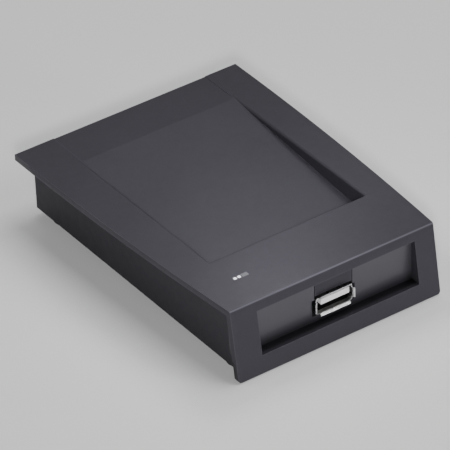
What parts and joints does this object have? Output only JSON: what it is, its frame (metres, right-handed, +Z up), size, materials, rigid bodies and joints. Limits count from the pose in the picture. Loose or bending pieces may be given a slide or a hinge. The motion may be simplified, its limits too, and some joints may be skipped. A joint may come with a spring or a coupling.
{
  "type": "rfid card reader",
  "caption": "Desktop RFID card reader: low plastic case with an inclined card bay on top, an indicator window, and a USB-A socket in a recessed front pocket.",
  "frame": {"origin": "bottom centre of the bounding box, on the surface the feet stand on", "axes": "+Z up; -Y towards the side with the USB socket; +X to the right seen from that side"},
  "size_m": [0.0816, 0.1096, 0.024],
  "materials": {
    "cover_plastic": "fine satin moulded texture",
    "housing_plastic": "fine satin moulded texture",
    "foot_rubber": "matt",
    "screw_steel": "zinc plated",
    "board_green": "solder mask",
    "socket_steel": "bright nickel plated",
    "socket_white": "moulded",
    "contact_gold": "gold flash",
    "lens_clear": "translucent white",
    "led_body": "moulded",
    "coil_copper": "enamelled copper wire",
    "pad_foam": "closed-cell foam",
    "connector_white": "moulded",
    "chip_black": "moulded",
    "can_metal": "drawn can",
    "capacitor_tan": "fired",
    "resistor_black": "coated",
    "inductor_grey": "ferrite",
    "buzzer_black": "moulded",
    "label_paper": "blank film label"
  },
  "bodies": {
    "root": {"top_cover": "cover_plastic", "bottom_housing": "housing_plastic", "rubber_feet": "foot_rubber", "housing_screws": "screw_steel", "main_board": "board_green", "board_screws": "screw_steel", "usb_shell": "socket_steel", "usb_tongue": "socket_white", "usb_contacts": "contact_gold", "indicator_lens": "lens_clear", "status_leds": "led_body", "antenna_coil": "coil_copper", "coil_pads": "pad_foam", "coil_leads": "coil_copper", "coil_connector": "connector_white", "microcontroller": "chip_black", "reader_chip": "chip_black", "crystal": "can_metal", "voltage_regulator": "chip_black", "electrolytic_capacitors": "can_metal", "ceramic_capacitors": "capacitor_tan", "chip_resistors": "resistor_black", "inductor": "inductor_grey", "buzzer": "buzzer_black", "rating_label": "label_paper"}
  },
  "joints": []
}
